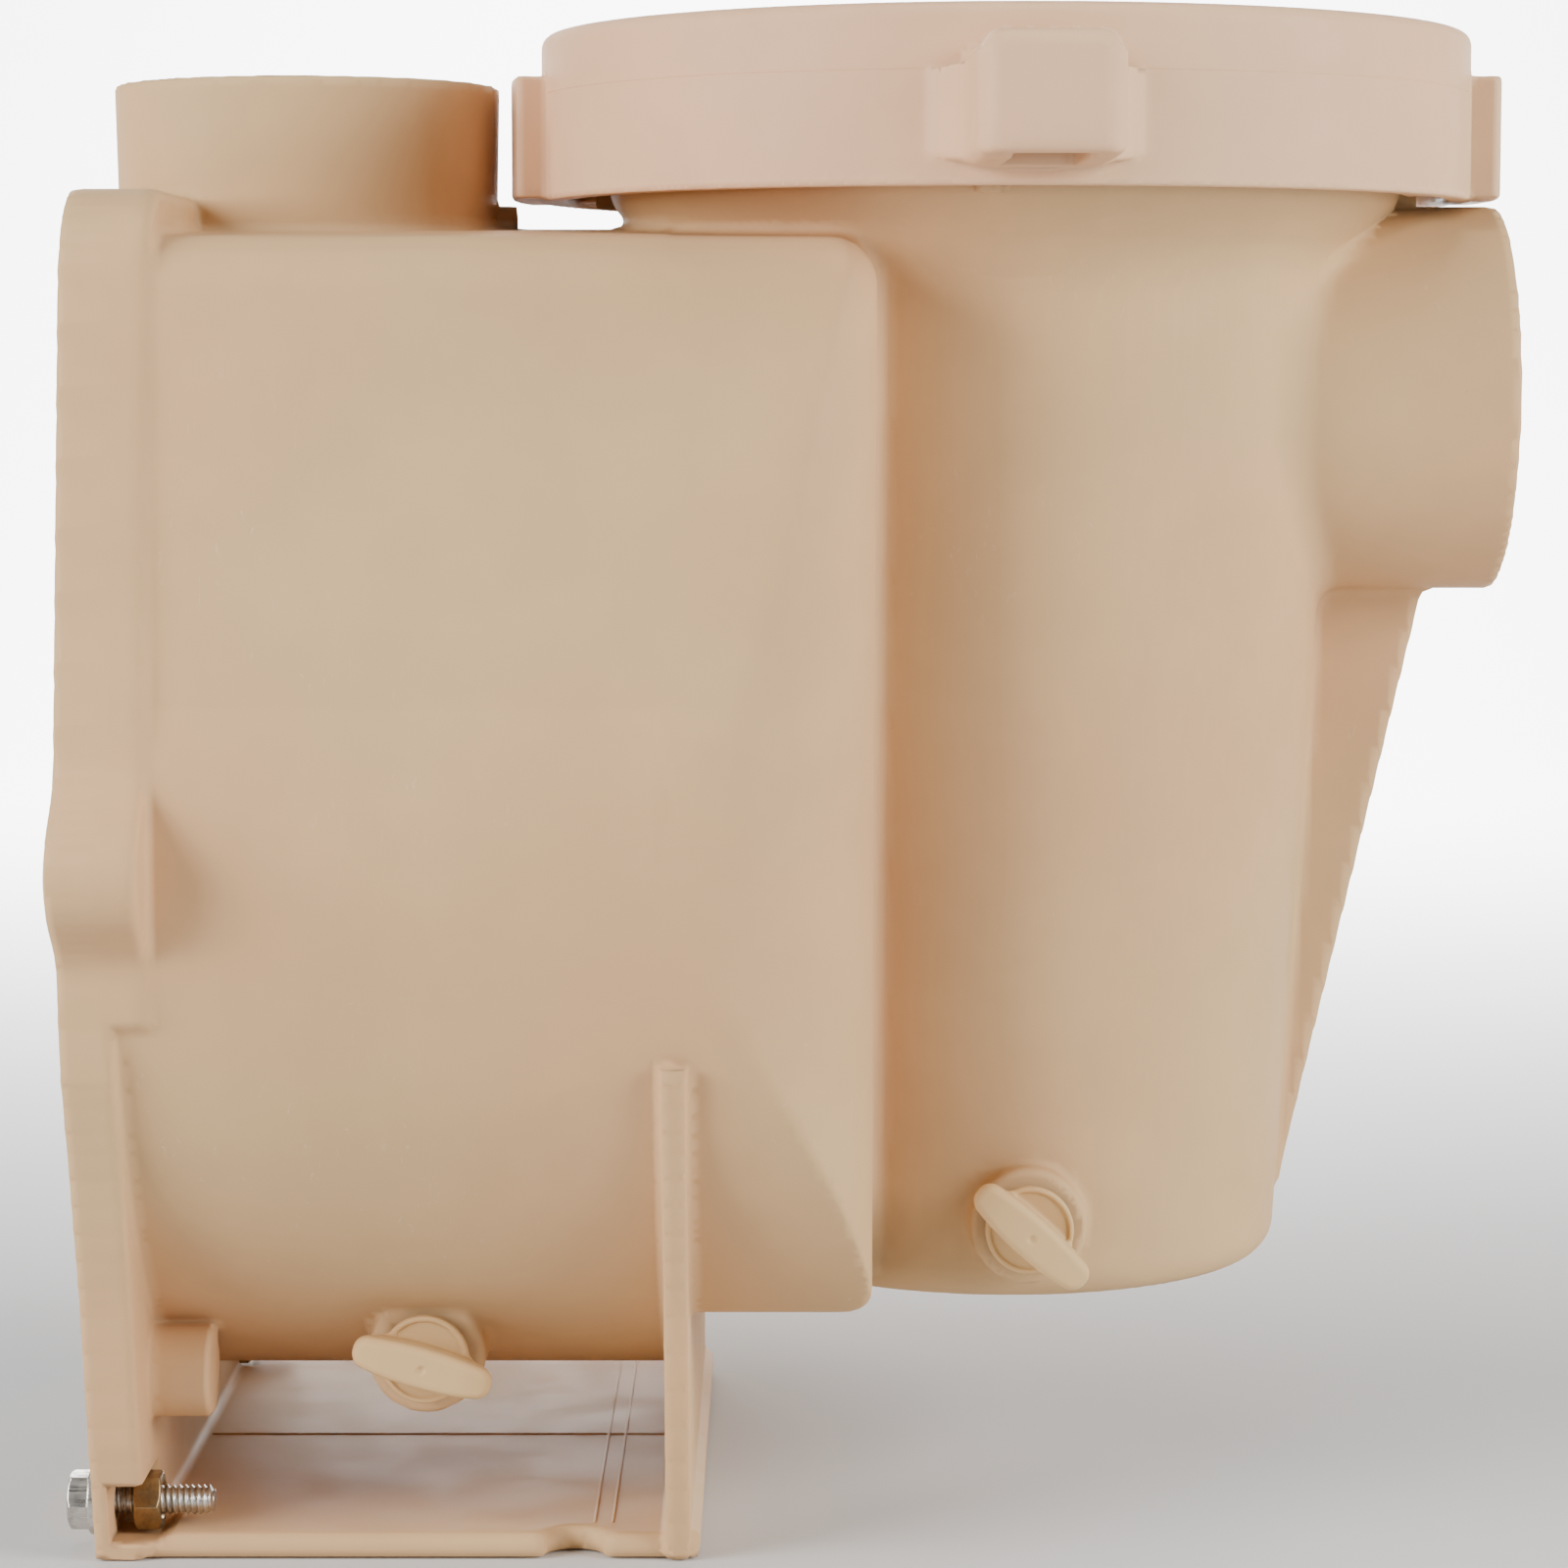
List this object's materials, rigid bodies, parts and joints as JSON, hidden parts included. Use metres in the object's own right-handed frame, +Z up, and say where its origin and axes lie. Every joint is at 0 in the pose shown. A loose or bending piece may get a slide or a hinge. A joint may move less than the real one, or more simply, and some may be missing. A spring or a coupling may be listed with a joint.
{
  "type": "swimming pool pump wet end",
  "caption": "Moulded strainer pot and volute case with a clamp-ring lid, impeller, diffuser, seal plate and winged drain plugs, ready for a face-mounted motor.",
  "frame": {"origin": "centre of the underside of the foot plate's plane, under the middle of the whole unit", "axes": "+X along the shaft from the motor face towards the suction port, +Z up, -Y the side with the drain plugs"},
  "size_m": [0.305, 0.2932, 0.317],
  "materials": {
    "case_plastic": "warm almond moulded glass-filled plastic, satin",
    "ring_plastic": "slightly pinker almond moulded plastic, satin",
    "plug_plastic": "tan moulded plastic, satin",
    "black_plastic": "black glass-filled plastic, satin",
    "grey_plastic": "dark grey glass-filled plastic, satin",
    "basket_plastic": "off-white moulded plastic",
    "clear_plastic": "clear polycarbonate",
    "rubber": "black nitrile rubber",
    "steel": "stainless steel",
    "brass": "dull brass",
    "ceramic": "white ceramic",
    "carbon": "carbon graphite"
  },
  "bodies": {
    "housing": {"motor_flange": "case_plastic", "foot": "case_plastic", "volute_barrel": "case_plastic", "volute_end": "case_plastic", "strainer_pot": "case_plastic", "brass_inserts": "brass", "foot_bolts": "steel", "foot_washers": "steel", "foot_nuts": "brass", "seal_plate": "black_plastic", "seal_plate_gasket": "rubber", "plate_bolts": "steel", "plate_washers": "steel", "seal_cup": "rubber", "seal_seat": "ceramic", "diffuser": "grey_plastic", "diffuser_oring": "rubber", "diffuser_screws": "steel", "strainer_basket": "basket_plastic"},
    "rotor": {"impeller": "grey_plastic", "impeller_insert": "brass", "impeller_screw": "steel", "seal_carbon": "carbon", "seal_head": "steel", "seal_spring": "steel"},
    "lid": {"lid": "clear_plastic", "lid_oring": "rubber"},
    "clamp_ring": {"clamp_ring": "ring_plastic"},
    "pot_plug_seal": {"pot_drain_oring": "rubber"},
    "pot_plug": {"pot_drain_plug": "plug_plastic"},
    "volute_plug_seal": {"volute_drain_oring": "rubber"},
    "volute_plug": {"volute_drain_plug": "plug_plastic"}
  },
  "joints": [
    {"name": "lid_lift", "type": "slide", "parent": "housing", "child": "lid", "axis": [0, 0, 1], "range_m": [0, 0.12]},
    {"name": "ring_turn", "type": "hinge", "parent": "lid", "child": "clamp_ring", "pos_m": [0.04465, 0, 0.3], "axis": [0, 0, 1], "range_deg": [-50, 0]},
    {"name": "impeller_spin", "type": "hinge", "parent": "housing", "child": "rotor", "pos_m": [-0.09595, 0, 0.146], "axis": [1, 0, 0], "continuous": true},
    {"name": "pot_plug_draw", "type": "slide", "parent": "housing", "child": "pot_plug_seal", "axis": [0, -1, 0], "range_m": [0, 0.0142]},
    {"name": "pot_plug_turn", "type": "hinge", "parent": "pot_plug_seal", "child": "pot_plug", "pos_m": [0.04755, -0.069, 0.0667], "axis": [0, -1, 0], "range_deg": [0, 3600]},
    {"name": "volute_plug_draw", "type": "slide", "parent": "housing", "child": "volute_plug_seal", "axis": [0, -1, 0], "range_m": [0, 0.0142]},
    {"name": "volute_plug_turn", "type": "hinge", "parent": "volute_plug_seal", "child": "volute_plug", "pos_m": [-0.07815, -0.073, 0.0403], "axis": [0, -1, 0], "range_deg": [0, 3600]}
  ],
  "couplings": [
    {"joint": "pot_plug_draw", "follows": "pot_plug_turn", "m_per_rad": 0.00022458},
    {"joint": "volute_plug_draw", "follows": "volute_plug_turn", "m_per_rad": 0.00022458}
  ]
}
